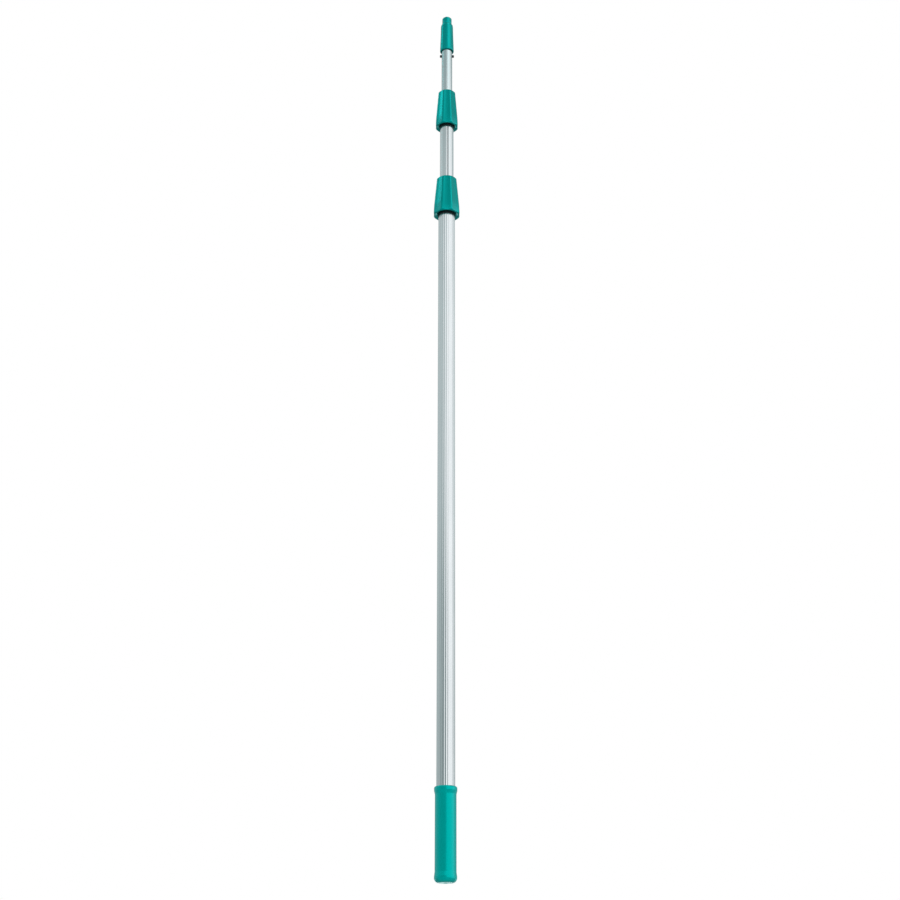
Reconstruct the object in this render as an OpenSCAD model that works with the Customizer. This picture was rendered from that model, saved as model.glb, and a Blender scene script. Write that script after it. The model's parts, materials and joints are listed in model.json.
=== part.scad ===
// Three-section telescopic pole for window cleaning tools, in millimetres.
// The pole stands upright along +Z, with its origin at the centre of the butt face.
// It is drawn partly extended: both moving sections are out by a hand's width.

/* [Tubes] */
// Outside diameter of the outer tube
outer_d = 30; // [29.8:0.1:30.2]
// Outside diameter of the middle tube
middle_d = 25; // [24.8:0.1:25.2]
// Outside diameter of the inner tube
inner_d = 20; // [19.8:0.1:20.2]
// Wall thickness of all three tubes
tube_wall = 1.2; // [1.1:0.1:1.3]
// Length of the outer tube
outer_l = 1211; // [1150:1:1250]
// Length of the middle tube
middle_l = 1260; // [1150:1:1260]
// Length of the inner tube
inner_l = 1300; // [1200:1:1300]
// Number of flutes round the outer tube
flutes = 28; // [20:2:32]

/* [Position of the sections] */
// Height of the lower edge of the upper collar
upper_z = 1366; // [1362:1:1380]
// Height of the spring buttons' axis
button_z = 1524.8; // [1518:0.2:1540]

/* [Hand grip] */
// Length of the hand grip
grip_l = 148; // [120:1:180]
// Diameter of the grip's straight middle
grip_d = 34.1; // [33.5:0.1:34.8]
// Diameter over the grip's rounded lower end
grip_foot_d = 36; // [35.6:0.1:37]
// Diameter over the bead at the grip's top
grip_bead_d = 36.8; // [36.2:0.1:37.6]

/* [Locking collars] */
// Length of both collars
collar_h = 75; // [73:1:76]
// Width of the lower collar across its panels
lower_collar_d = 47.2; // [46.6:0.1:48]
// Diameter of the lower collar's top
lower_top_d = 38.5; // [37.6:0.1:39]
// Width of the upper collar across its panels
upper_collar_d = 41.1; // [40.6:0.1:42.4]
// Diameter of the upper collar's top
upper_top_d = 33.6; // [33.2:0.1:34.6]
// Number of flat finger panels round each collar
panels = 8; // [6:1:10]
// Pitch of the lock's screw thread
pitch = 4; // [4:0.5:5]

/* [Tip] */
// Length of the tip cone
cone_l = 76.3; // [74:0.1:80]
// Diameter of the tip cone's mouth
cone_mouth_d = 25.9; // [25.6:0.1:26.8]
// Diameter of the tip cone's shoulder
cone_shoulder_d = 23; // [22.6:0.1:23.4]
// Diameter of the spigot that tools are pushed on
spigot_d = 17.8; // [17:0.1:18.4]

/* [Spring buttons] */
// Diameter of the buttons
button_d = 5; // [4.6:0.1:5.4]
// How far the buttons stand out of the inner tube
button_out = 3.4; // [3.2:0.1:4]

/* [Hidden] */
$fn = 72;

// Radii of the tubes
outer_r = outer_d / 2;
middle_r = middle_d / 2;
inner_r = inner_d / 2;

// Gaps: between parts that move past each other, and on a sliding fit
gap = 0.3;
fit_gap = 0.05;
// Extra length on cutting tools, so that they pass right through
over = 1;

// Flutes of the outer tube; one of them sits slightly beside the front
flute_depth = 0.35;
flute_r = 4;
flute_turn = -4;

// Guide groove of the middle tube, turned from the front towards +X
groove_angle = 10;
groove_w = 1.8;
groove_depth = 0.6;
key_w = 1.2;
key_h = 0.65;

// Butt end: end wall of the grip, flange of the plug, drain hole
grip_end_wall = 4;
plug_flange = 2;
plug_l = 26;
plug_bore_r = 9;
drain_r = 3.3;
plug_drain_r = 5;
outer_z = grip_end_wall + plug_flange;

// Levels inside a lock, above the collar's lower edge
sleeve_low = -2.5;
tube_end = 38;
sleeve_top = 44;
collet_top = 62;
ring_low = 62.4;
ring_top = 65;
pocket_top = 65.3;
cone_low = 40;
bore_low = 6;
thread_low = 8;
thread_top = 32;
nut_thread_low = 12;
nut_thread_top = 24;
rivet_level = 35;
// Height of the lower collar's lower edge
lower_z = outer_z + outer_l - tube_end;

// Radial sizes inside a lock
sleeve_wall = 0.7;
thread_h = 1.15;
nut_thread_h = 1.2;
thread_gap = 0.4;
mouth_gap = 0.45;
collet_base = 2.6;
collet_tip = 1.7;
collet_ring_h = 5;
collet_slots = 6;
collet_slot_w = 1.2;
ring_wall = 1.6;
ring_gap = 0.3;
lock_rivets = 3;
rivet_r = 1.5;
rivet_sink = 0.1;

// Thread ridge: steps per turn, widths at the root and the crest, depth into the wall
thread_steps = 24;
ridge_root = 1.8;
ridge_crest = 0.9;
ridge_sink = 0.2;

// Outside shape of a collar
collar_chamfer = 1.6;
lip_r = 3;
dish_h = 2.5;
dish_rim = 4;
panel_bend = 9;
panel_share = 0.87;

// Guide bushes at the feet of the moving tubes
bush_flange = 5;
bush_l = 45;
bush_bore_lip = 2.5;
bush_rivet_level = 12;
bush_rivet_in = 0.4;
foot_rivets = 2;

// Tip cone
cone_z = button_z + 9.9;
tube_in_cone = 50.3;
cone_lip_h = 3;
cone_lip_gap = 0.9;
cone_waist = 37;
cone_waist_r = 11.85;
cone_shoulder_z = 56.3;
cone_bevel_h = 3.2;
cone_bevel_in = 0.7;
cone_step_h = 2.2;
spigot_neck_h = 2.4;
spigot_neck_in = 0.25;
spigot_chamfer = 2.2;
cone_core_r = 6;
cone_core_h = 16;

// Spring buttons and their leaf spring
button_dome = 1.2;
button_flange_r = 3;
button_flange_t = 0.7;
button_flange_x = 7.2;
spring_w = 8;
spring_t = 0.8;
spring_x = 7.1;
spring_top = 8;
spring_straight = 22;
spring_bend_z = 48;
spring_bend_r = 3.2;
bend_steps = 8;

teal = [0.0, 0.58, 0.54];
aluminium = [0.75, 0.78, 0.79];
black = [0.06, 0.06, 0.06];
bone = [0.86, 0.85, 0.8];
steel = [0.7, 0.7, 0.72];

// Points of an arc about (x, y), from angle a to angle b
function arc(x, y, r, a, b, steps = 8) =
  [for (i = [0 : steps]) let (t = a + (b - a) * i / steps) [x + r * cos(t), y + r * sin(t)]];

// Inner radius of a tube
function bore_of(r) = r - tube_wall;

// Plain round tube from z to z + h
module ring(r_in, r_out, z, h) {
  translate([0, 0, z])
    difference() {
      cylinder(r = r_out, h = h);
      translate([0, 0, -over]) cylinder(r = r_in, h = h + 2 * over);
    }
}

// Places its children at equal turns about Z
module around(count, start = 0) {
  for (i = [0 : count - 1]) rotate([0, 0, start + i * 360 / count]) children();
}

// Round pin along +X, from radius r1 to radius r2
module radial_pin(r, r1, r2) {
  translate([r1, 0, 0]) rotate([0, 90, 0]) cylinder(r = r, h = r2 - r1, $fn = 32);
}

// Helical ridge from z1 to z2: side 1 stands out of radius r, side -1 stands into a bore of radius r.
// Each cross-section is a trapezium sunk slightly into the wall that carries it.
module thread_ridge(r, h, side, z1, z2, phase = 0) {
  turns = (z2 - z1) / pitch;
  count = ceil(turns * thread_steps);
  root = r - side * ridge_sink;
  crest = r + side * h;
  section = side > 0
    ? [[root, -ridge_root / 2], [crest, -ridge_crest / 2], [crest, ridge_crest / 2], [root, ridge_root / 2]]
    : [[root, -ridge_root / 2], [root, ridge_root / 2], [crest, ridge_crest / 2], [crest, -ridge_crest / 2]];
  points = [
    for (i = [0 : count], p = section)
      let (a = phase + i * turns * 360 / count, z = z1 + i * turns * pitch / count)
        [p[0] * cos(a), p[0] * sin(a), z + p[1]]
  ];
  sides = [
    for (i = [0 : count - 1], k = [0 : 3])
      let (a = 4 * i + k, b = 4 * i + (k + 1) % 4)
        each [[a, b, a + 4], [b, b + 4, a + 4]]
  ];
  last = 4 * count;
  ends = [[0, 2, 1], [0, 3, 2], [last, last + 1, last + 2], [last, last + 2, last + 3]];
  polyhedron(points = points, faces = concat(sides, ends), convexity = 8);
}

// Fluted outer tube, with holes for the rivets of its lock sleeve
module outer_tube() {
  color(aluminium)
    difference() {
      translate([0, 0, outer_z])
        linear_extrude(outer_l)
          difference() {
            circle(r = outer_r, $fn = 144);
            circle(r = bore_of(outer_r), $fn = 144);
            around(flutes, flute_turn)
              translate([outer_r + flute_r - flute_depth, 0]) circle(r = flute_r, $fn = 144);
          }
      translate([0, 0, lower_z + rivet_level])
        around(lock_rivets) radial_pin(rivet_r, bore_of(outer_r) - over, outer_r + over);
    }
}

// Soft grip with a rounded foot, a bead at its top, a closed end wall and a drain hole
module hand_grip() {
  foot_r = grip_foot_d / 2;
  body_r = grip_d / 2;
  bead_r = grip_bead_d / 2;
  round_r = 7;
  color(teal)
    rotate_extrude()
      polygon(concat(
        [[drain_r, 0]],
        arc(foot_r - round_r, round_r, round_r, -90, 0),
        [[foot_r, 8.5], [foot_r - 0.25, 11], [body_r + 0.25, 15.5], [body_r, 19], [body_r, grip_l - 13]],
        [[body_r + 0.25, grip_l - 10.5], [bead_r - 0.3, grip_l - 7], [bead_r, grip_l - 5]],
        arc(bead_r - 2.8, grip_l - 2.8, 2.8, 0, 90),
        [[outer_r, grip_l], [outer_r, grip_end_wall], [drain_r, grip_end_wall]]
      ));
}

// Plug that closes the butt end of the outer tube and keeps its edge out of the grip
module butt_plug() {
  bore_r = bore_of(outer_r);
  color(black)
    difference() {
      union() {
        translate([0, 0, grip_end_wall]) cylinder(r = outer_r, h = plug_flange);
        translate([0, 0, outer_z]) cylinder(r = bore_r, h = plug_l);
      }
      translate([0, 0, grip_end_wall - over]) cylinder(r = plug_drain_r, h = plug_l);
      translate([0, 0, outer_z + 3]) cylinder(r = plug_bore_r, h = plug_l);
    }
}

// Threaded sleeve over the end of the larger tube, riveted to it
module lock_sleeve(r_big, r_small, z, keyed) {
  body_r = r_big + sleeve_wall;
  color(black)
    translate([0, 0, z]) {
      difference() {
        union() {
          translate([0, 0, sleeve_low]) cylinder(r = body_r, h = sleeve_top - sleeve_low);
          thread_ridge(body_r, thread_h, 1, thread_low, thread_top);
        }
        translate([0, 0, sleeve_low - over]) cylinder(r = r_big, h = tube_end - sleeve_low + over);
        cylinder(r = r_small + gap, h = sleeve_top + over);
        translate([0, 0, rivet_level]) around(lock_rivets) radial_pin(rivet_r, r_big - over, body_r + over);
      }
      if (keyed)
        rotate([0, 0, groove_angle - 90])
          translate([r_small + gap - key_h, -key_w / 2, tube_end])
            cube([key_h + gap, key_w, sleeve_top - tube_end]);
    }
}

// Flush rivets that hold a lock sleeve on its tube
module lock_rivet_set(r_big, z) {
  color(steel)
    translate([0, 0, z + rivet_level])
      around(lock_rivets)
        radial_pin(rivet_r, bore_of(r_big) + rivet_sink, r_big + sleeve_wall - rivet_sink);
}

// Slotted ring that the collar's cone squeezes onto the smaller tube
module collet(r_small, z) {
  bore_r = r_small + gap;
  color(bone)
    translate([0, 0, z + sleeve_top])
      difference() {
        cylinder(r1 = bore_r + collet_base, r2 = bore_r + collet_tip, h = collet_top - sleeve_top);
        translate([0, 0, -over]) cylinder(r = bore_r, h = collet_top);
        translate([0, 0, collet_ring_h])
          around(collet_slots, 30)
            translate([0, -collet_slot_w / 2, 0]) cube([r_small + 10, collet_slot_w, collet_top]);
      }
}

// Slip ring that travels with the collar but doesn't turn
module thrust_ring(r_small, z) {
  color(bone) ring(r_small + gap, r_small + gap + ring_wall, z + ring_low, ring_top - ring_low);
}

// Outline of a collar's outside: dished lip, rounded foot, upright band, tapered flank, chamfered top
function collar_outline(mouth_r, foot_r, top_r) = concat(
  [[mouth_r, dish_h], [foot_r - dish_rim, 0]],
  arc(foot_r - lip_r, lip_r, lip_r, -90, 0),
  [[foot_r, panel_bend + 1.5], [top_r, collar_h - collar_chamfer], [top_r - collar_chamfer, collar_h]],
  [[0, collar_h], [0, dish_h]]
);

// Locking collar: a nut with flat finger panels, a thread, and a cone over the collet
module lock_collar(r_big, r_small, z, widest_d, top_d) {
  widest = widest_d / 2;
  top_r = top_d / 2;
  sleeve_r = r_big + sleeve_wall;
  mouth_r = sleeve_r + mouth_gap;
  thread_r = sleeve_r + thread_h + thread_gap;
  ring_r = r_small + gap + ring_wall + ring_gap;
  cone_r = r_small + gap + collet_base + ring_gap + 0.3;
  cone_tip_r = r_small + gap + collet_tip + ring_gap + 0.1;
  bore_r = r_small + gap + 0.05;
  // The panels stand upright up to the bend and lean above it; the round ridges between them do the same.
  top_flat = top_r * cos(180 / panels);
  lean = atan((widest - top_flat) / (collar_h - panel_bend));
  to_ridge = 1 / cos(panel_share * 180 / panels);
  color(teal)
    translate([0, 0, z]) {
      difference() {
        rotate_extrude() polygon(collar_outline(mouth_r, widest * to_ridge, top_flat * to_ridge));
        around(panels, -90) translate([widest, 0, 0]) {
          translate([0, -widest, -over]) cube([widest, 2 * widest, collar_h]);
          translate([0, 0, panel_bend])
            rotate([0, -lean, 0]) translate([0, -widest, -over]) cube([widest, 2 * widest, collar_h * 1.5]);
        }
        cylinder(r = mouth_r, h = bore_low + over);
        translate([0, 0, bore_low]) cylinder(r = thread_r, h = cone_low - bore_low);
        translate([0, 0, cone_low - over]) cylinder(r = cone_r, h = sleeve_top - cone_low + 2 * over);
        translate([0, 0, sleeve_top + over])
          cylinder(r1 = cone_r, r2 = cone_tip_r, h = collet_top - sleeve_top - over);
        translate([0, 0, collet_top - over]) cylinder(r = ring_r, h = pocket_top - collet_top + over);
        cylinder(r = bore_r, h = collar_h + over);
      }
      thread_ridge(thread_r, nut_thread_h, -1, nut_thread_low, nut_thread_top, 180);
    }
}

// Rolled tube with the guide groove, and holes for its rivets
module middle_tube() {
  top = upper_z + tube_end;
  color(aluminium)
    difference() {
      ring(bore_of(middle_r), middle_r, top - middle_l, middle_l);
      rotate([0, 0, groove_angle - 90])
        translate([middle_r - groove_depth, -groove_w / 2, top - middle_l - over])
          cube([groove_depth + over, groove_w, middle_l + 2 * over]);
      translate([0, 0, upper_z + rivet_level])
        around(lock_rivets) radial_pin(rivet_r, bore_of(middle_r) - over, middle_r + over);
      translate([0, 0, top - middle_l + bush_rivet_level])
        around(foot_rivets) radial_pin(rivet_r, bore_of(middle_r) - over, middle_r + over);
    }
}

// Guide bush: a sleeve round the foot of a moving tube, closed under its end by a flange
module foot_bush(r_tube, r_guide, foot) {
  color(black)
    translate([0, 0, foot])
      difference() {
        translate([0, 0, -bush_flange]) cylinder(r = r_guide - gap, h = bush_flange + bush_l);
        cylinder(r = r_tube, h = bush_l + over);
        translate([0, 0, -bush_flange - over])
          cylinder(r = bore_of(r_tube) - bush_bore_lip, h = bush_flange + 2 * over);
        translate([0, 0, bush_rivet_level])
          around(foot_rivets) radial_pin(rivet_r, r_tube - over, r_guide + over);
      }
}

// Rivets that hold a guide bush on its tube
module foot_rivet_set(r_tube, r_guide, foot) {
  color(steel)
    translate([0, 0, foot + bush_rivet_level])
      around(foot_rivets)
        radial_pin(rivet_r, bore_of(r_tube) - bush_rivet_in, r_guide - gap - rivet_sink);
}

// Plain inner tube, with the holes of the spring buttons and of its foot rivets
module inner_tube() {
  top = cone_z + tube_in_cone;
  color(aluminium)
    difference() {
      ring(bore_of(inner_r), inner_r, top - inner_l, inner_l);
      translate([0, 0, button_z])
        around(2) radial_pin(button_d / 2 + fit_gap, bore_of(inner_r) - over, inner_r + over);
      translate([0, 0, top - inner_l + bush_rivet_level])
        around(foot_rivets, 90) radial_pin(rivet_r, bore_of(inner_r) - over, inner_r + over);
    }
}

// Tapered tip that grips a tool's socket, pressed on the inner tube
module tip_cone() {
  mouth_r = cone_mouth_d / 2;
  shoulder_r = cone_shoulder_d / 2;
  spigot_r = spigot_d / 2;
  step_z = cone_shoulder_z + cone_bevel_h;
  neck_z = step_z + cone_step_h;
  color(teal)
    translate([0, 0, cone_z])
      rotate_extrude()
        polygon(concat(
          [[inner_r + cone_lip_gap, 0]],
          arc(mouth_r - 1, 1, 1, -90, 0, 4),
          [[mouth_r, 3.5], [cone_waist_r, cone_waist], [shoulder_r, cone_shoulder_z]],
          [[shoulder_r - cone_bevel_in, step_z], [spigot_r - spigot_neck_in, neck_z]],
          [[spigot_r - spigot_neck_in, neck_z + spigot_neck_h / 2], [spigot_r, neck_z + spigot_neck_h]],
          [[spigot_r, cone_l - spigot_chamfer], [spigot_r - spigot_chamfer, cone_l], [0, cone_l]],
          [[0, tube_in_cone + cone_core_h], [cone_core_r, tube_in_cone + cone_core_h]],
          [[cone_core_r, tube_in_cone], [inner_r, tube_in_cone]],
          [[inner_r, cone_lip_h + 2], [inner_r + cone_lip_gap, cone_lip_h]]
        ));
}

// Bent leaf spring inside the inner tube, with one leg behind each button
module button_spring() {
  low = button_z - spring_bend_z;
  inside = spring_x - spring_t;
  outer_side = concat(
    [[spring_x, button_z + spring_top], [spring_x, button_z - spring_straight]],
    arc(0, low, spring_bend_r + spring_t, 0, -180, bend_steps),
    [[-spring_x, button_z - spring_straight], [-spring_x, button_z + spring_top]]
  );
  inner_side = concat(
    [[-inside, button_z + spring_top], [-inside, button_z - spring_straight]],
    arc(0, low, spring_bend_r, 180, 360, bend_steps),
    [[inside, button_z - spring_straight], [inside, button_z + spring_top]]
  );
  color(steel)
    rotate([90, 0, 0]) linear_extrude(spring_w, center = true) polygon(concat(outer_side, inner_side));
}

// Round-ended button, pointing along +X, with a flange that stops inside the tube
module button() {
  tip = inner_r + button_out;
  r = button_d / 2;
  color(steel)
    translate([0, 0, button_z])
      rotate([0, 90, 0])
        rotate_extrude($fn = 48)
          polygon(concat(
            [[0, button_flange_x], [button_flange_r, button_flange_x]],
            [[button_flange_r, button_flange_x + button_flange_t], [r, button_flange_x + button_flange_t]],
            arc(r - button_dome, tip - button_dome, button_dome, 0, 90, 6),
            [[0, tip]]
          ));
}

module lower_lock_sleeve() lock_sleeve(outer_r, middle_r, lower_z, true);
module lower_lock_rivets() lock_rivet_set(outer_r, lower_z);
module lower_collet() collet(middle_r, lower_z);
module lower_thrust_ring() thrust_ring(middle_r, lower_z);
module lower_lock_collar() lock_collar(outer_r, middle_r, lower_z, lower_collar_d, lower_top_d);
module upper_lock_sleeve() lock_sleeve(middle_r, inner_r, upper_z, false);
module upper_lock_rivets() lock_rivet_set(middle_r, upper_z);
module upper_collet() collet(inner_r, upper_z);
module upper_thrust_ring() thrust_ring(inner_r, upper_z);
module upper_lock_collar() lock_collar(middle_r, inner_r, upper_z, upper_collar_d, upper_top_d);
module middle_foot_bush() foot_bush(middle_r, bore_of(outer_r), upper_z + tube_end - middle_l);
module middle_foot_rivets() foot_rivet_set(middle_r, bore_of(outer_r), upper_z + tube_end - middle_l);
module inner_foot_bush() rotate([0, 0, 90]) foot_bush(inner_r, bore_of(middle_r), inner_foot());
module inner_foot_rivets() rotate([0, 0, 90]) foot_rivet_set(inner_r, bore_of(middle_r), inner_foot());
module left_button() rotate([0, 0, 180]) button();
module right_button() button();

// Height of the inner tube's lower end
function inner_foot() = cone_z + tube_in_cone - inner_l;

outer_tube();
hand_grip();
butt_plug();
lower_lock_sleeve();
lower_lock_rivets();
lower_collet();
lower_thrust_ring();
lower_lock_collar();
middle_tube();
middle_foot_bush();
middle_foot_rivets();
upper_lock_sleeve();
upper_lock_rivets();
upper_collet();
upper_thrust_ring();
upper_lock_collar();
inner_tube();
inner_foot_bush();
inner_foot_rivets();
tip_cone();
button_spring();
left_button();
right_button();
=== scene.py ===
"""Telescopic window cleaning pole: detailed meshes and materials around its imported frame.

Everything is in metres in the frame of the CAD model: the pole stands on its butt along +Z and its front
faces -Y. Levels come from the CAD nodes' boxes. Shapes that a box doesn't give are named below, in
millimetres.
"""

import json
import math

import bpy
from mathutils import Euler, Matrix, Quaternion, Vector


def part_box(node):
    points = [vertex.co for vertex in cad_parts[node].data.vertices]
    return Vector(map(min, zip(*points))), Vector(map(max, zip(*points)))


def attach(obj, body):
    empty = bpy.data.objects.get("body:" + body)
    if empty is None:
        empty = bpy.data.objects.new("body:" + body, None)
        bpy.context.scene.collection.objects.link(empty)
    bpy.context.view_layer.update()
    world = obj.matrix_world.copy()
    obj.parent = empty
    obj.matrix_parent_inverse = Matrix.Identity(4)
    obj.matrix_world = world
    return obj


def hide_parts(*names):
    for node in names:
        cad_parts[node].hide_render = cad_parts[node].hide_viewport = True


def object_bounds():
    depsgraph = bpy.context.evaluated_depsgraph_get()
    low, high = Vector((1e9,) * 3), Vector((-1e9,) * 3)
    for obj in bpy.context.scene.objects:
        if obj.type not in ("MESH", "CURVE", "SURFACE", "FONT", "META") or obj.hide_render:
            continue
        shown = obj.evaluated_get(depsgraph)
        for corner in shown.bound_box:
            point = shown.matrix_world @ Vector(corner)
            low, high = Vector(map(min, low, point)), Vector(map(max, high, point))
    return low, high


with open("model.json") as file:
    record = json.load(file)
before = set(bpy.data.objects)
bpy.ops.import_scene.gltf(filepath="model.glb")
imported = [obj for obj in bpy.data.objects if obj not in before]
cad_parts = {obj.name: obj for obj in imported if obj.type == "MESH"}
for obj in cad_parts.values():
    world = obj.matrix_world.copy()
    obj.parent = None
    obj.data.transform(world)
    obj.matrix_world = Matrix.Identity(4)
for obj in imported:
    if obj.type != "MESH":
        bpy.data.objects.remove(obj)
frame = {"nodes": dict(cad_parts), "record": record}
cad_low, cad_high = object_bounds()

MM = 0.001
TURN = 2 * math.pi
FRONT = -math.pi / 2

# Camera: in front of the pole and below its butt, looking up
CAMERA_PLACE = (0.0, -2.544, -0.295)
CAMERA_PITCH = 21.76
CAMERA_YAW = -0.144
CAMERA_ROLL = 0.042
CAMERA_LENS = 64.0

# Room the light comes from, in bands from the ground up. Each band has stops round it and the two elevations
# between which it takes over from the one below. A stop holds an azimuth, from the front towards +X, and a
# level; a third value is the share of red left in that light, which tints reflections only
ROOM = (
    (((-180, 0.22), (-105, 0.22), (-75, 0.42), (75, 0.42), (105, 0.22), (180, 0.22)), None),
    (((-180, 1.05), (-145, 0.95), (-110, 0.30), (-75, 0.42), (75, 0.42), (110, 0.30), (145, 0.95),
      (180, 1.05)), (-17, -12)),
    (((-180, 0.30), (-150, 0.36), (-125, 0.50), (-75, 0.41), (-45, 0.30), (-20, 0.26), (2, 0.26), (13, 0.97),
      (88, 1.00), (120, 0.32), (180, 0.30)), (-6, 0)),
    (((-180, 0.36), (-140, 0.46), (-105, 0.57), (-56, 0.50), (-26, 0.52), (-14, 0.54), (-4, 0.95), (86, 0.96),
      (116, 0.50), (180, 0.42)), (15, 21)),
    (((-180, 0.34), (-90, 0.34), (-36, 0.29), (-2, 0.33), (12, 0.50), (27, 0.80), (62, 0.78), (85, 0.56),
      (112, 0.34), (180, 0.32)), (33.2, 34.8)),
    (((-180, 0.24, 0.2), (-118, 0.32, 0.3), (-110, 2.20, 0.15), (-94, 2.20, 0.15), (-86, 0.34, 0.3),
      (-40, 0.32, 0.6), (-8, 0.34, 0.6), (8, 0.50, 0.6), (20, 1.30, 0.5), (44, 1.30, 0.5), (62, 0.85, 0.5),
      (80, 0.32, 0.5), (120, 0.27, 0.4), (180, 0.24, 0.3)), (37.2, 38.2)),
    (((-180, 0.24, 0.2), (-118, 0.32, 0.3), (-110, 1.35, 0.1), (-94, 1.35, 0.1), (-86, 0.34, 0.3),
      (-40, 0.32, 0.6), (-8, 0.34, 0.6), (8, 0.50, 0.6), (20, 1.20, 0.5), (44, 1.25, 0.5), (62, 0.85, 0.5),
      (80, 0.34, 0.5), (120, 0.27, 0.4), (180, 0.24, 0.3)), (39.0, 40.0)),
    (((-180, 0.45), (180, 0.45)), (64, 76)),
)
ROOM_LEVEL = 1.45

# Radii of the tubes and their wall
OUTER_R, MIDDLE_R, INNER_R = 15.0, 12.5, 10.0
TUBE_WALL = 1.2
TUBE_EDGE = 0.2

# Flutes of the outer tube, the pattern turned slightly from the front
FLUTES = 28
FLUTE_TURN = math.radians(-4)
FLUTE_R = 4.0
FLUTE_DEPTH = 0.35
FLUTE_LIP = 0.08

# Guide groove of the middle tube
GROOVE_TURN = math.radians(10)
GROOVE_W = 1.8
GROOVE_DEPTH = 0.6
GROOVE_LIP = 0.5

# Locks: levels above the collar's lower edge, then radial sizes
SLEEVE_LOW, TUBE_END, SLEEVE_TOP = -2.5, 38.0, 44.0
COLLET_TOP, POCKET_TOP, COLLAR_H = 62.0, 65.3, 75.0
CONE_LOW, BORE_LOW = 40.0, 6.0
SLEEVE_THREAD = (8.0, 32.0)
NUT_THREAD = (12.0, 24.0)
SLEEVE_WALL = 0.7
SLEEVE_THREAD_H, NUT_THREAD_H = 1.15, 1.2
PITCH, RIDGE_ROOT, RIDGE_CREST = 4.0, 1.8, 0.9
GAP = 0.3

# Outside of a collar
PANELS = 8
PANEL_BEND = 9.0
BEND_SPAN = 12.0
PANEL_EDGE = 0.8
PANEL_HALF = math.radians(19.5)
PANEL_DIP = 0.55
COLLAR_CHAMFER = 1.6
DISH_RIM, DISH_H = 4.0, 2.5
TOP_R = {"lower_lock_collar": 19.25, "upper_lock_collar": 16.8}

# Segments round the lathed pieces; a multiple of the panels, so that every ridge has the same mesh
SEGMENTS = 192
SHARP = math.radians(32)


# ---------------------------------------------------------------- camera, stage and light


def add_camera():
    data = bpy.data.cameras.new("camera")
    data.lens = CAMERA_LENS
    data.sensor_width = 36.0
    data.clip_end = 50.0
    camera = bpy.data.objects.new("camera", data)
    camera.location = CAMERA_PLACE
    camera.rotation_mode = "QUATERNION"
    aim = Euler((math.radians(90 + CAMERA_PITCH), 0, math.radians(CAMERA_YAW)))
    roll = Quaternion((0, 0, 1), math.radians(CAMERA_ROLL))
    camera.rotation_quaternion = aim.to_quaternion() @ roll
    bpy.context.scene.collection.objects.link(camera)
    bpy.context.scene.camera = camera


def ramp(tree, value, stops):
    """Level over azimuth, from 0 behind round to 1; greener where it is dark or where a stop says so."""
    node = tree.nodes.new("ShaderNodeValToRGB")
    node.color_ramp.interpolation = "EASE"
    marks = node.color_ramp.elements
    for i, (azimuth, level, *red) in enumerate(stops):
        mark = marks[i] if i < 2 else marks.new(0.999)
        mark.position = (azimuth + 180) / 360
        mark.color = (level * (red[0] if red else min(0.76 + 0.26 * level, 1.0)), level, level * 1.01, 1)
    tree.links.new(value, node.inputs["Fac"])
    return node.outputs["Color"]


def blend(tree, value, low, high, below, above):
    """Two colours mixed over a height, given as elevations in degrees."""
    step = tree.nodes.new("ShaderNodeMapRange")
    step.interpolation_type = "SMOOTHSTEP"
    step.inputs["From Min"].default_value = math.sin(math.radians(low))
    step.inputs["From Max"].default_value = math.sin(math.radians(high))
    tree.links.new(value, step.inputs["Value"])
    mix = tree.nodes.new("ShaderNodeMix")
    mix.data_type = "RGBA"
    tree.links.new(step.outputs["Result"], mix.inputs["Factor"])
    for source, name in ((below, "A"), (above, "B")):
        tree.links.new(source, mix.inputs[name])
    return mix.outputs["Result"]


def add_world():
    """White backdrop for the camera; for the rest a room of large soft panels, colourless as diffuse light."""
    world = bpy.data.worlds.new("studio")
    bpy.context.scene.world = world
    world.use_nodes = True
    tree = world.node_tree
    nodes, links = tree.nodes, tree.links
    nodes.clear()
    coords = nodes.new("ShaderNodeTexCoord")
    split = nodes.new("ShaderNodeSeparateXYZ")
    links.new(coords.outputs["Generated"], split.inputs[0])
    ahead = nodes.new("ShaderNodeMath")
    ahead.operation = "MULTIPLY"
    ahead.inputs[1].default_value = -1.0
    links.new(split.outputs["Y"], ahead.inputs[0])
    azimuth = nodes.new("ShaderNodeMath")
    azimuth.operation = "ARCTAN2"
    links.new(split.outputs["X"], azimuth.inputs[0])
    links.new(ahead.outputs[0], azimuth.inputs[1])
    turn = nodes.new("ShaderNodeMapRange")
    turn.inputs["From Min"].default_value = -math.pi
    turn.inputs["From Max"].default_value = math.pi
    links.new(azimuth.outputs[0], turn.inputs["Value"])

    room = None
    for stops, edge in ROOM:
        band = ramp(tree, turn.outputs["Result"], stops)
        room = blend(tree, split.outputs["Z"], *edge, room, band) if edge else band

    path = nodes.new("ShaderNodeLightPath")
    levels = nodes.new("ShaderNodeSeparateColor")
    links.new(room, levels.inputs[0])
    plain = nodes.new("ShaderNodeMix")
    plain.data_type = "RGBA"
    links.new(path.outputs["Is Diffuse Ray"], plain.inputs["Factor"])
    links.new(room, plain.inputs["A"])
    links.new(levels.outputs["Green"], plain.inputs["B"])
    light = nodes.new("ShaderNodeBackground")
    light.inputs["Strength"].default_value = ROOM_LEVEL
    links.new(plain.outputs["Result"], light.inputs["Color"])
    backdrop = nodes.new("ShaderNodeBackground")
    backdrop.inputs["Color"].default_value = (1, 1, 1, 1)
    mix = nodes.new("ShaderNodeMixShader")
    links.new(path.outputs["Is Camera Ray"], mix.inputs["Fac"])
    links.new(light.outputs[0], mix.inputs[1])
    links.new(backdrop.outputs[0], mix.inputs[2])
    output = nodes.new("ShaderNodeOutputWorld")
    links.new(mix.outputs[0], output.inputs["Surface"])


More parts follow.
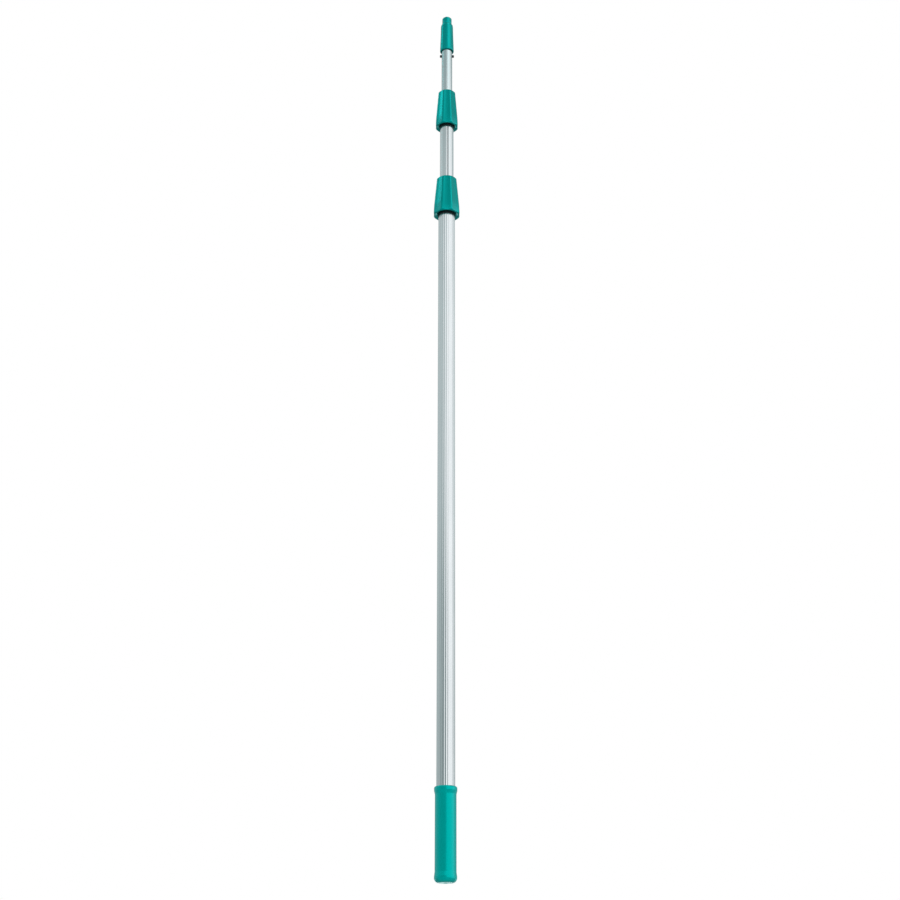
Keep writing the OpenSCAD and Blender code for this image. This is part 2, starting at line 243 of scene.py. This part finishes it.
def add_floor():
    """Pale floor under the butt, which fades into the backdrop and shows from above only."""
    radius = 14.0
    count = 96
    around = [TURN * k / count for k in range(count)]
    ring = [(radius * math.cos(angle), radius * math.sin(angle), 0.0) for angle in around]
    mesh = bpy.data.meshes.new("floor")
    mesh.from_pydata(ring, [], [tuple(range(count))])
    floor = bpy.data.objects.new("floor", mesh)
    floor.location.z = cad_low.z - 0.1 * MM
    bpy.context.scene.collection.objects.link(floor)
    floor.visible_diffuse = floor.visible_glossy = floor.visible_transmission = floor.visible_shadow = False

    paint = bpy.data.materials.new("floor_paint")
    paint.use_nodes = True
    nodes, links = paint.node_tree.nodes, paint.node_tree.links
    nodes.clear()
    diffuse = nodes.new("ShaderNodeBsdfDiffuse")
    diffuse.inputs["Color"].default_value = (0.86, 0.86, 0.86, 1)
    glow = nodes.new("ShaderNodeEmission")
    clear = nodes.new("ShaderNodeBsdfTransparent")
    geometry = nodes.new("ShaderNodeNewGeometry")
    reach = nodes.new("ShaderNodeVectorMath")
    reach.operation = "LENGTH"
    links.new(geometry.outputs["Position"], reach.inputs[0])
    fade = nodes.new("ShaderNodeMapRange")
    fade.interpolation_type = "SMOOTHSTEP"
    fade.inputs["From Min"].default_value = 0.4
    fade.inputs["From Max"].default_value = 5.0
    fade.inputs["To Min"].default_value = 0.45
    links.new(reach.outputs["Value"], fade.inputs["Value"])
    pale = nodes.new("ShaderNodeMixShader")
    links.new(fade.outputs["Result"], pale.inputs["Fac"])
    links.new(diffuse.outputs[0], pale.inputs[1])
    links.new(glow.outputs[0], pale.inputs[2])
    sided = nodes.new("ShaderNodeMixShader")
    links.new(geometry.outputs["Backfacing"], sided.inputs["Fac"])
    links.new(pale.outputs[0], sided.inputs[1])
    links.new(clear.outputs[0], sided.inputs[2])
    output = nodes.new("ShaderNodeOutputMaterial")
    links.new(sided.outputs[0], output.inputs["Surface"])
    mesh.materials.append(paint)


# ---------------------------------------------------------------- materials


def noise(tree, scale, detail=2.0):
    """Noise over object coordinates, with its own scale along each axis."""
    coords = tree.nodes.new("ShaderNodeTexCoord")
    mapping = tree.nodes.new("ShaderNodeMapping")
    mapping.inputs["Scale"].default_value = scale
    texture = tree.nodes.new("ShaderNodeTexNoise")
    texture.inputs["Scale"].default_value = 1.0
    texture.inputs["Detail"].default_value = detail
    tree.links.new(coords.outputs["Object"], mapping.inputs["Vector"])
    tree.links.new(mapping.outputs["Vector"], texture.inputs["Vector"])
    return texture.outputs["Fac"]


def spread(tree, value, low, high):
    """The middle of a noise's range spread from low to high."""
    node = tree.nodes.new("ShaderNodeMapRange")
    node.inputs["From Min"].default_value = 0.3
    node.inputs["From Max"].default_value = 0.7
    node.inputs["To Min"].default_value = low
    node.inputs["To Max"].default_value = high
    tree.links.new(value, node.inputs["Value"])
    return node.outputs["Result"]


def painted_recess_shade(tree):
    """Share of the metal's colour kept in the groove and the flutes, by distance from the axis.

    Painted shade: it darkens them further than their shape alone does.
    """
    coords = tree.nodes.new("ShaderNodeTexCoord")
    flat = tree.nodes.new("ShaderNodeVectorMath")
    flat.operation = "MULTIPLY"
    flat.inputs[1].default_value = (1, 1, 0)
    tree.links.new(coords.outputs["Object"], flat.inputs[0])
    reach = tree.nodes.new("ShaderNodeVectorMath")
    reach.operation = "LENGTH"
    tree.links.new(flat.outputs[0], reach.inputs[0])
    share = tree.nodes.new("ShaderNodeMapRange")
    share.inputs["From Max"].default_value = 2 * OUTER_R * MM
    tree.links.new(reach.outputs["Value"], share.inputs["Value"])
    node = tree.nodes.new("ShaderNodeValToRGB")
    marks = node.color_ramp.elements
    groove, flute = MIDDLE_R - GROOVE_DEPTH, OUTER_R - FLUTE_DEPTH
    # Painted shade levels: 0.3 to 0.45 of the colour kept in the groove, 0.88 to 0.94 in the flutes
    stops = ((groove - 0.4, 1.0), (groove - 0.3, 0.3), (groove + 0.3, 0.45), (MIDDLE_R - 0.02, 1.0),
             (flute - 0.3, 1.0), (flute - 0.2, 0.88), (flute + 0.1, 0.94), (OUTER_R - 0.02, 1.0))
    for i, (radius, level) in enumerate(stops):
        mark = marks[i] if i < 2 else marks.new(0.999)
        mark.position = radius / (2 * OUTER_R)
        mark.color = (level, level, level, 1)
    tree.links.new(share.outputs["Result"], node.inputs["Fac"])
    return node.outputs["Color"]


def finish_material(name, colours, roughness, cloud, grain, depth, metallic=0.0, ior=1.5, level=0.5,
                    tint=(1, 1, 1), coat=0.0, paint_recess_shade=False):
    """Colour drifts over the cloud noise; roughness and relief follow the grain noise."""
    made = bpy.data.materials.new(name)
    made.use_nodes = True
    tree = made.node_tree
    shader = tree.nodes["Principled BSDF"]
    shader.inputs["Metallic"].default_value = metallic
    shader.inputs["IOR"].default_value = ior
    shader.inputs["Specular IOR Level"].default_value = level
    shader.inputs["Specular Tint"].default_value = (*tint, 1)
    shader.inputs["Coat Weight"].default_value = coat
    shader.inputs["Coat Roughness"].default_value = 0.12

    mix = tree.nodes.new("ShaderNodeMix")
    mix.data_type = "RGBA"
    mix.inputs["A"].default_value = (*colours[0], 1)
    mix.inputs["B"].default_value = (*colours[1], 1)
    tree.links.new(spread(tree, noise(tree, cloud, 3.0), 0.0, 1.0), mix.inputs["Factor"])
    colour = mix.outputs["Result"]
    # Painted shade: the colour is multiplied by the darkening mask for the groove and the flutes
    if paint_recess_shade:
        shade = tree.nodes.new("ShaderNodeMix")
        shade.data_type, shade.blend_type = "RGBA", "MULTIPLY"
        shade.inputs["Factor"].default_value = 1.0
        tree.links.new(colour, shade.inputs["A"])
        tree.links.new(painted_recess_shade(tree), shade.inputs["B"])
        colour = shade.outputs["Result"]
    tree.links.new(colour, shader.inputs["Base Color"])

    fine = noise(tree, grain, 4.0)
    tree.links.new(spread(tree, fine, *roughness), shader.inputs["Roughness"])
    bump = tree.nodes.new("ShaderNodeBump")
    bump.inputs["Distance"].default_value = depth * MM
    bump.inputs["Strength"].default_value = 1.0
    tree.links.new(fine, bump.inputs["Height"])
    tree.links.new(bump.outputs["Normal"], shader.inputs["Normal"])
    return made


def make_materials():
    """One finish for each material slot of the record."""
    teal_sheen = (0.0, 1.0, 0.97)
    return {
        # Drawn aluminium: the grain runs along the tube; painted shade darkens its groove and flutes
        "aluminium": finish_material(
            "aluminium", ((0.60, 0.635, 0.645), (0.66, 0.69, 0.70)), (0.13, 0.21),
            cloud=(70, 70, 6), grain=(2600, 2600, 9), depth=0.004, metallic=1.0, paint_recess_shade=True),
        # Glossy moulded plastic with a faint orange peel
        "teal_plastic": finish_material(
            "teal_plastic", ((0.0, 0.185, 0.166), (0.0, 0.200, 0.181)), (0.16, 0.23),
            cloud=(60, 60, 40), grain=(700, 700, 700), depth=0.006, ior=1.9, level=1.0, tint=teal_sheen),
        # Soft dipped vinyl
        "grip_vinyl": finish_material(
            "grip_vinyl", ((0.0, 0.318, 0.288), (0.0, 0.345, 0.312)), (0.18, 0.26),
            cloud=(50, 50, 25), grain=(900, 900, 900), depth=0.008, ior=1.8, level=1.0, tint=teal_sheen),
        "black_plastic": finish_material(
            "black_plastic", ((0.006, 0.006, 0.007), (0.010, 0.010, 0.011)), (0.36, 0.48),
            cloud=(90, 90, 90), grain=(1500, 1500, 1500), depth=0.006),
        "slip_plastic": finish_material(
            "slip_plastic", ((0.72, 0.70, 0.63), (0.78, 0.77, 0.71)), (0.34, 0.46),
            cloud=(90, 90, 90), grain=(1500, 1500, 1500), depth=0.005),
        "rivet_steel": finish_material(
            "rivet_steel", ((0.48, 0.48, 0.49), (0.56, 0.56, 0.57)), (0.28, 0.40),
            cloud=(300, 300, 300), grain=(3000, 3000, 3000), depth=0.003, metallic=1.0),
        "spring_steel": finish_material(
            "spring_steel", ((0.40, 0.41, 0.43), (0.48, 0.49, 0.50)), (0.22, 0.34),
            cloud=(200, 200, 40), grain=(3000, 3000, 300), depth=0.003, metallic=1.0),
        "button_chrome": finish_material(
            "button_chrome", ((0.040, 0.040, 0.043), (0.052, 0.052, 0.055)), (0.08, 0.14),
            cloud=(400, 400, 400), grain=(4000, 4000, 4000), depth=0.002, metallic=1.0, coat=0.6),
    }


# ---------------------------------------------------------------- mesh tools


def rounded(outline, steps=5):
    """A closed outline of (r, z) or (r, z, radius) points, with an arc at each corner that has a radius."""
    points = []
    for i, corner in enumerate(outline):
        tip = Vector(corner[:2])
        if len(corner) == 2:
            points.append(tuple(tip))
            continue
        before = (Vector(outline[i - 1][:2]) - tip).normalized()
        after = (Vector(outline[(i + 1) % len(outline)][:2]) - tip).normalized()
        half = before.angle(after) / 2
        centre = tip + (before + after).normalized() * (corner[2] / math.sin(half))
        start = tip + before * (corner[2] / math.tan(half)) - centre
        end = tip + after * (corner[2] / math.tan(half)) - centre
        first = math.atan2(start.y, start.x)
        sweep = (math.atan2(end.y, end.x) - first + math.pi) % TURN - math.pi
        for k in range(steps + 1):
            angle = first + sweep * k / steps
            points.append((centre.x + corner[2] * math.cos(angle), centre.y + corner[2] * math.sin(angle)))
    return points


def divided(outline, longest, low=-math.inf, high=math.inf):
    """The closed outline with its sides cut shorter than longest wherever they lie between two levels."""
    points = []
    for i, (r, z) in enumerate(outline):
        next_r, next_z = outline[(i + 1) % len(outline)]
        points.append((r, z))
        if low <= min(z, next_z) and max(z, next_z) <= high:
            pieces = math.ceil(math.hypot(next_r - r, next_z - z) / longest)
            step_r, step_z = next_r - r, next_z - z
            points += [(r + step_r * k / pieces, z + step_z * k / pieces) for k in range(1, pieces)]
    return points


def even_angles(count=SEGMENTS, start=FRONT):
    return [start + TURN * k / count for k in range(count)]


def revolved(outline, base_z=0.0, angles=None, shape=None):
    """Vertices and faces of a closed outline turned about Z, counter-clockwise in the r-z plane, in metres.

    shape(r, z, angle) may change the radius from place to place. A point on the axis becomes a single vertex.
    """
    angles = angles or even_angles()
    vertices, rows = [], []
    for r, z in outline:
        around = angles if r > 0 else [0.0]
        rows.append(range(len(vertices), len(vertices) + len(around)))
        for angle in around:
            radius = shape(r, z, angle) if shape and r > 0 else r
            vertices.append((radius * math.cos(angle) * MM, radius * math.sin(angle) * MM, base_z + z * MM))
    faces = []
    for i, low in enumerate(rows):
        high = rows[(i + 1) % len(rows)]
        for k in range(len(angles)):
            n = (k + 1) % len(angles)
            if len(low) == len(high) == 1:
                break
            if len(low) == 1:
                faces.append((low[0], high[n], high[k]))
            elif len(high) == 1:
                faces.append((low[k], low[n], high[0]))
            else:
                faces.append((low[k], low[n], high[n], high[k]))
    return vertices, faces


def add_piece(name, vertices, faces, material):
    """Smooth-shaded mesh object whose edges are sharp only where its faces meet at a real corner."""
    mesh = bpy.data.meshes.new(name)
    mesh.from_pydata(vertices, [], faces)
    mesh.materials.append(material)
    piece = bpy.data.objects.new(name, mesh)
    bpy.context.scene.collection.objects.link(piece)
    soften(piece)
    return piece


def soften(piece):
    mesh = piece.data
    mesh.polygons.foreach_set("use_smooth", [True] * len(mesh.polygons))
    mesh.set_sharp_from_angle(angle=SHARP)
    if "weighted" not in piece.modifiers:
        normals = piece.modifiers.new("weighted", "WEIGHTED_NORMAL")
        normals.keep_sharp = True


def drill(piece, radius, level, angles, reach):
    """Round radial holes through a tube's wall, at a level in metres and at angles about Z."""
    count = 40
    vertices, faces = [], []
    for angle in angles:
        first = len(vertices)
        for x in (reach[0], reach[1]):
            for k in range(count):
                y, z = radius * math.cos(TURN * k / count), radius * math.sin(TURN * k / count)
                vertices.append((
                    (x * math.cos(angle) - y * math.sin(angle)) * MM,
                    (x * math.sin(angle) + y * math.cos(angle)) * MM,
                    level + z * MM,
                ))
        near = [first + k for k in range(count)]
        far = [first + count + k for k in range(count)]
        faces += [tuple(reversed(near)), tuple(far)]
        faces += [(near[k], near[(k + 1) % count], far[(k + 1) % count], far[k]) for k in range(count)]
    cutter_mesh = bpy.data.meshes.new("cutter")
    cutter_mesh.from_pydata(vertices, [], faces)
    cutter = bpy.data.objects.new("cutter", cutter_mesh)
    bpy.context.scene.collection.objects.link(cutter)
    cut = piece.modifiers.new("cut", "BOOLEAN")
    cut.operation, cut.solver, cut.object = "DIFFERENCE", "EXACT", cutter
    piece.modifiers.move(len(piece.modifiers) - 1, 0)
    weighted = piece.modifiers["weighted"]
    weighted.show_viewport = False
    evaluated = piece.evaluated_get(bpy.context.evaluated_depsgraph_get())
    drilled = bpy.data.meshes.new_from_object(evaluated)
    piece.modifiers.remove(cut)
    weighted.show_viewport = True
    old = piece.data
    drilled.name = old.name + "_drilled"
    piece.data = drilled
    bpy.data.meshes.remove(old)
    bpy.data.objects.remove(cutter)
    bpy.data.meshes.remove(cutter_mesh)
    soften(piece)


def settle(piece, body, nodes):
    """Hangs the piece on the empty of the body it rides on, and hides the CAD nodes it stands for."""
    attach(piece, body)
    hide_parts(*nodes)


def low_of(node):
    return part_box(node)[0].z


def high_of(node):
    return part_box(node)[1].z


# ---------------------------------------------------------------- tubes


def smooth_min(a, b, blend):
    """The smaller of two lengths, with the corner between them rounded."""
    near = max(blend - abs(a - b), 0.0) / blend
    return min(a, b) - near * near * blend / 4


def smooth_max(a, b, blend):
    """The larger of two lengths, with the corner between them rounded."""
    return -smooth_min(-a, -b, blend)


def off_axis(angle, start, count):
    """Angle from the nearest of count equal turns."""
    step = TURN / count
    return (angle - start + step / 2) % step - step / 2


def fluted(r, z, angle):
    """Radius of the outer tube's wall, lowered where a flute runs; the bore stays round."""
    if r < OUTER_R - TUBE_WALL / 2:
        return r
    across = off_axis(angle, FRONT + FLUTE_TURN, FLUTES)
    centre = OUTER_R + FLUTE_R - FLUTE_DEPTH
    offset = centre * math.sin(across)
    if abs(offset) >= FLUTE_R:
        return r
    floor = centre * math.cos(across) - math.sqrt(FLUTE_R**2 - offset**2)
    return r - OUTER_R + smooth_min(OUTER_R, floor, FLUTE_LIP)


def grooved(r, z, angle):
    """Radius of the middle tube's wall, lowered in its round-lipped guide groove."""
    if r < MIDDLE_R - TUBE_WALL / 2:
        return r
    across = abs(off_axis(angle, FRONT + GROOVE_TURN, 1)) * MIDDLE_R - GROOVE_W / 2
    share = min(max(0.5 - across / GROOVE_LIP, 0.0), 1.0)
    return r - GROOVE_DEPTH * share * share * (3 - 2 * share)


def flute_angles():
    """Angles round the outer tube, closer together at the flutes."""
    half = (1.1, 2.2, 3.3, 4.3, 5.0, 5.4, 5.65, 5.9)
    steps = [-s for s in reversed(half)] + [0.0, *half, 6.43]
    return [FRONT + FLUTE_TURN + TURN * k / FLUTES + math.radians(s) for k in range(FLUTES) for s in steps]


def groove_angles():
    """Even angles round the middle tube, with extra ones at the edges of the groove."""
    half = math.degrees(GROOVE_W / 2 / MIDDLE_R)
    lip = math.degrees(GROOVE_LIP / MIDDLE_R)
    extra = [side * (half + lip * k / 4) for side in (-1, 1) for k in (-3, -2, -1, 0, 1, 2, 3)]
    wide = half + lip
    even = [wide + (360 - 2 * wide) * k / 150 for k in range(151)]
    steps = sorted([s for s in extra if abs(s) < wide] + [0.0, -half / 2, half / 2] + even)
    return [FRONT + GROOVE_TURN + math.radians(s) for s in steps]


def tube(name, node, r, angles, shape, stops, spacing=60.0):
    """Tube between the levels of its CAD node, with chamfered ends and rows of faces close to its holes."""
    low = low_of(node)
    length = (high_of(node) - low) / MM
    levels = {TUBE_EDGE, length - TUBE_EDGE}
    levels |= {length * k / math.ceil(length / spacing) for k in range(1, math.ceil(length / spacing))}
    for stop in stops:
        levels |= {(stop - low) / MM + side * away for side in (-1, 1) for away in (3.2, 6.5, 14.0)}
    levels = sorted(z for z in levels if TUBE_EDGE <= z <= length - TUBE_EDGE)
    bore = r - TUBE_WALL
    outside = [(r - TUBE_EDGE, 0.0)] + [(r, z) for z in levels] + [(r - TUBE_EDGE, length)]
    inside = [(bore + TUBE_EDGE, length)] + [(bore, z) for z in reversed(levels)] + [(bore + TUBE_EDGE, 0.0)]
    return add_piece(name, *revolved(outside + inside, low, angles, shape), materials["aluminium"])


def add_tubes():
    lower_rivets = (low_of("lower_lock_rivets") + high_of("lower_lock_rivets")) / 2
    upper_rivets = (low_of("upper_lock_rivets") + high_of("upper_lock_rivets")) / 2
    middle_foot = (low_of("middle_foot_rivets") + high_of("middle_foot_rivets")) / 2
    inner_foot = (low_of("inner_foot_rivets") + high_of("inner_foot_rivets")) / 2
    buttons = (low_of("right_button") + high_of("right_button")) / 2
    thirds = [TURN * k / 3 for k in range(3)]

    outer = tube("outer_tube_fluted", "outer_tube", OUTER_R, flute_angles(), fluted, [lower_rivets])
    drill(outer, 1.5, lower_rivets, thirds, (12, 17))
    settle(outer, "outer_section", ["outer_tube"])

    middle_holes = [upper_rivets, middle_foot]
    middle = tube("middle_tube_grooved", "middle_tube", MIDDLE_R, groove_angles(), grooved, middle_holes)
    drill(middle, 1.5, upper_rivets, thirds, (10, 14))
    drill(middle, 1.5, middle_foot, [0, math.pi], (10, 14))
    settle(middle, "middle_section", ["middle_tube"])

    inner = tube("inner_tube_plain", "inner_tube", INNER_R, even_angles(144), None, [buttons, inner_foot])
    drill(inner, 2.55, buttons, [0, math.pi], (7, 12))
    drill(inner, 1.5, inner_foot, [math.pi / 2, -math.pi / 2], (7, 12))
    settle(inner, "inner_section", ["inner_tube"])


# ---------------------------------------------------------------- locks


def ridge(z, angle, ends, phase):
    """Share of the full height of a right-hand thread ridge at a place on its wall."""
    turn = (z - ends[0]) / PITCH - (angle - phase) / TURN
    offset = (turn - round(turn)) * PITCH
    if not ends[0] <= z - offset <= ends[1]:
        return 0.0
    return min(max((RIDGE_ROOT / 2 - abs(offset)) / ((RIDGE_ROOT - RIDGE_CREST) / 2), 0.0), 1.0)


def add_sleeve(name, node, body, r_big, r_small):
    """Threaded sleeve; its lower end shows as a black ring under the collar."""
    wall_r = r_big + SLEEVE_WALL
    outline = rounded([
        (wall_r, SLEEVE_LOW, 0.3),
        (wall_r, SLEEVE_TOP, 0.3),
        (r_small + GAP, SLEEVE_TOP, 0.2),
        (r_small + GAP, TUBE_END),
        (r_big, TUBE_END),
        (r_big, SLEEVE_LOW, 0.15),
    ])

    def threaded(r, z, angle):
        return r + (SLEEVE_THREAD_H * ridge(z, angle, SLEEVE_THREAD, 0.0) if r >= wall_r - 0.01 else 0.0)

    outline = with_rows(outline, wall_r, SLEEVE_THREAD)
    base = low_of(node) - SLEEVE_LOW * MM
    piece = add_piece(name, *revolved(outline, base, shape=threaded), materials["black_plastic"])
    settle(piece, body, [node])


def with_rows(outline, wall_r, ends, row=0.3):
    """The outline with close rows of points on the wall of radius wall_r, where its thread runs."""
    low, high = ends[0] - 1.5, ends[1] + 1.5
    count = math.ceil((high - low) / row)
    rows = [low + (high - low) * k / count for k in range(count + 1)]
    points = []
    for i, (r, z) in enumerate(outline):
        points.append((r, z))
        next_r, next_z = outline[(i + 1) % len(outline)]
        on_wall = abs(r - wall_r) < 0.01 and abs(next_r - wall_r) < 0.01
        if on_wall and min(z, next_z) < low and max(z, next_z) > high:
            points += [(wall_r, level) for level in (rows if next_z > z else reversed(rows))]
    return points


def add_collar(name, node, body, r_big, r_small):
    """Locking collar: eight hollow finger panels between round ridges, a dished mouth and a nut thread."""
    low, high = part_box(node)
    widest = high.x / MM
    top_r = TOP_R[node]
    base = low.z
    mouth_r = r_big + SLEEVE_WALL + 0.45
    thread_r = r_big + SLEEVE_WALL + SLEEVE_THREAD_H + 0.4
    cone_r = r_small + 3.5
    cone_tip_r = r_small + 2.4
    pocket_r = r_small + 2.2
    bore_r = r_small + 0.35
    outline = rounded([
        (widest - DISH_RIM, 0.0, 1.2),
        (widest, 0.0, 3.0),
        (top_r, COLLAR_H - COLLAR_CHAMFER, 0.9),
        (top_r - COLLAR_CHAMFER, COLLAR_H, 0.6),
        (bore_r, COLLAR_H, 0.35),
        (bore_r, POCKET_TOP),
        (pocket_r, POCKET_TOP),
        (pocket_r, COLLET_TOP),
        (cone_tip_r, COLLET_TOP),
        (cone_r, SLEEVE_TOP + 1),
        (cone_r, CONE_LOW),
        (thread_r, CONE_LOW),
        (thread_r, BORE_LOW),
        (mouth_r, BORE_LOW),
        (mouth_r, DISH_H, 0.5),
    ])
    outline = divided(outline, 2.2, low=-1.0, high=COLLAR_H + 1)
    outline = with_rows(outline, thread_r, NUT_THREAD)
    top_flat = top_r * math.cos(math.pi / PANELS)
    lean = (widest - top_flat) / (COLLAR_H - PANEL_BEND)

    def formed(r, z, angle):
        if abs(r - thread_r) < 0.01:
            return r - NUT_THREAD_H * ridge(z, angle, NUT_THREAD, math.pi)
        if r < mouth_r + 0.01:
            return r
        flat = widest - lean * smooth_max(z - PANEL_BEND, 0.0, BEND_SPAN)
        wall = widest + (top_r - widest) * z / (COLLAR_H - COLLAR_CHAMFER)
        dish = min((r - mouth_r) / (widest - DISH_RIM - mouth_r), 1.0) if z < DISH_H + 1 else 1.0
        r += (flat / math.cos(PANEL_HALF) - wall) * dish
        across = off_axis(angle, FRONT, PANELS)
        hollow = PANEL_DIP * max(1 - (math.tan(across) / math.tan(PANEL_HALF)) ** 2, 0.0)
        return smooth_min(r, (flat - hollow) / math.cos(across), PANEL_EDGE)

    piece = add_piece(name, *revolved(outline, base, shape=formed), materials["teal_plastic"])
    settle(piece, body, [node])


def add_locks():
    add_sleeve("lower_sleeve_threaded", "lower_lock_sleeve", "outer_section", OUTER_R, MIDDLE_R)
    add_sleeve("upper_sleeve_threaded", "upper_lock_sleeve", "middle_section", MIDDLE_R, INNER_R)
    add_collar("lower_collar_panelled", "lower_lock_collar", "lower_collar", OUTER_R, MIDDLE_R)
    add_collar("upper_collar_panelled", "upper_lock_collar", "upper_collar", MIDDLE_R, INNER_R)


# ---------------------------------------------------------------- grip, tip and buttons


def add_grip():
    low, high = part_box("hand_grip")
    bead_r = high.x / MM
    length = (high.z - low.z) / MM
    foot_r, body_r, drain_r = 18.0, 17.05, 3.3
    outline = rounded([
        (drain_r, 0.0, 0.6),
        (foot_r, 0.0, 7.0),
        (foot_r, 9.6, 2.5),
        (body_r, 16.4, 14.0),
        (body_r, length - 12.2, 6.0),
        (bead_r, length - 6.6, 3.0),
        (bead_r, length, 2.8),
        (OUTER_R, length, 0.3),
        (OUTER_R, 4.0),
        (drain_r, 4.0, 0.4),
    ], steps=7)
    outline = divided(outline, 6.0)
    piece = add_piece("hand_grip_moulded", *revolved(outline, low.z), materials["grip_vinyl"])
    settle(piece, "outer_section", ["hand_grip"])


def add_tip():
    low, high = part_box("tip_cone")
    mouth_r = high.x / MM
    length = (high.z - low.z) / MM
    outline = rounded([
        (INNER_R + 0.9, 0.0, 0.25),
        (mouth_r, 0.0, 1.0),
        (mouth_r, 3.5, 5.0),
        (11.85, 37.0, 40.0),
        (11.5, 56.3, 1.2),
        (10.8, 59.5, 0.6),
        (8.65, 61.7, 0.4),
        (8.65, 62.9, 0.8),
        (8.9, 65.3, 0.8),
        (8.9, length - 2.2, 1.0),
        (6.7, length, 0.9),
        (0.0, length),
        (0.0, 66.3),
        (6.0, 66.3, 0.5),
        (6.0, 50.3),
        (INNER_R, 50.3),
        (INNER_R, 5.0),
        (INNER_R + 0.9, 3.0),
    ])
    outline = divided(outline, 4.0, high=length)
    outline = [(r if r > 1e-6 else 0.0, z) for r, z in outline]
    outline = [
        point for i, point in enumerate(outline)
        if point[0] > 0 or outline[i - 1][0] > 0 or outline[(i + 1) % len(outline)][0] > 0
    ]
    turned = revolved(outline, low.z, even_angles(128))
    piece = add_piece("tip_cone_turned", *turned, materials["teal_plastic"])
    settle(piece, "inner_section", ["tip_cone"])


def add_button(name, node, body, side):
    """Round-ended spring button along X, with its stop flange inside the tube."""
    low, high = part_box(node)
    reach = max(abs(low.x), abs(high.x)) / MM
    level = (low.z + high.z) / 2
    outline = rounded([
        (0.0, 7.2),
        (3.0, 7.2, 0.15),
        (3.0, 7.9, 0.15),
        (2.5, 7.9),
        (2.5, reach, 1.2),
        (0.0, reach),
    ], steps=8)
    vertices, faces = revolved(outline, 0.0, even_angles(48))
    vertices = [(side * z, side * y, x + level) for x, y, z in vertices]
    piece = add_piece(name, vertices, faces, materials["button_chrome"])
    settle(piece, body, [node])


# ---------------------------------------------------------------- making


add_camera()
add_world()
add_floor()

materials = make_materials()
add_tubes()
add_locks()
add_grip()
add_tip()
add_button("left_button_round", "left_button", "left_snap", -1)
add_button("right_button_round", "right_button", "right_snap", 1)

for subpart in frame["record"]["subparts"]:
    node = frame["nodes"].get(subpart["node"])
    if node and not node.hide_render:
        node.data.materials.clear()
        node.data.materials.append(materials[subpart["material_slot"]])

bpy.context.scene.view_settings.view_transform = "Standard"
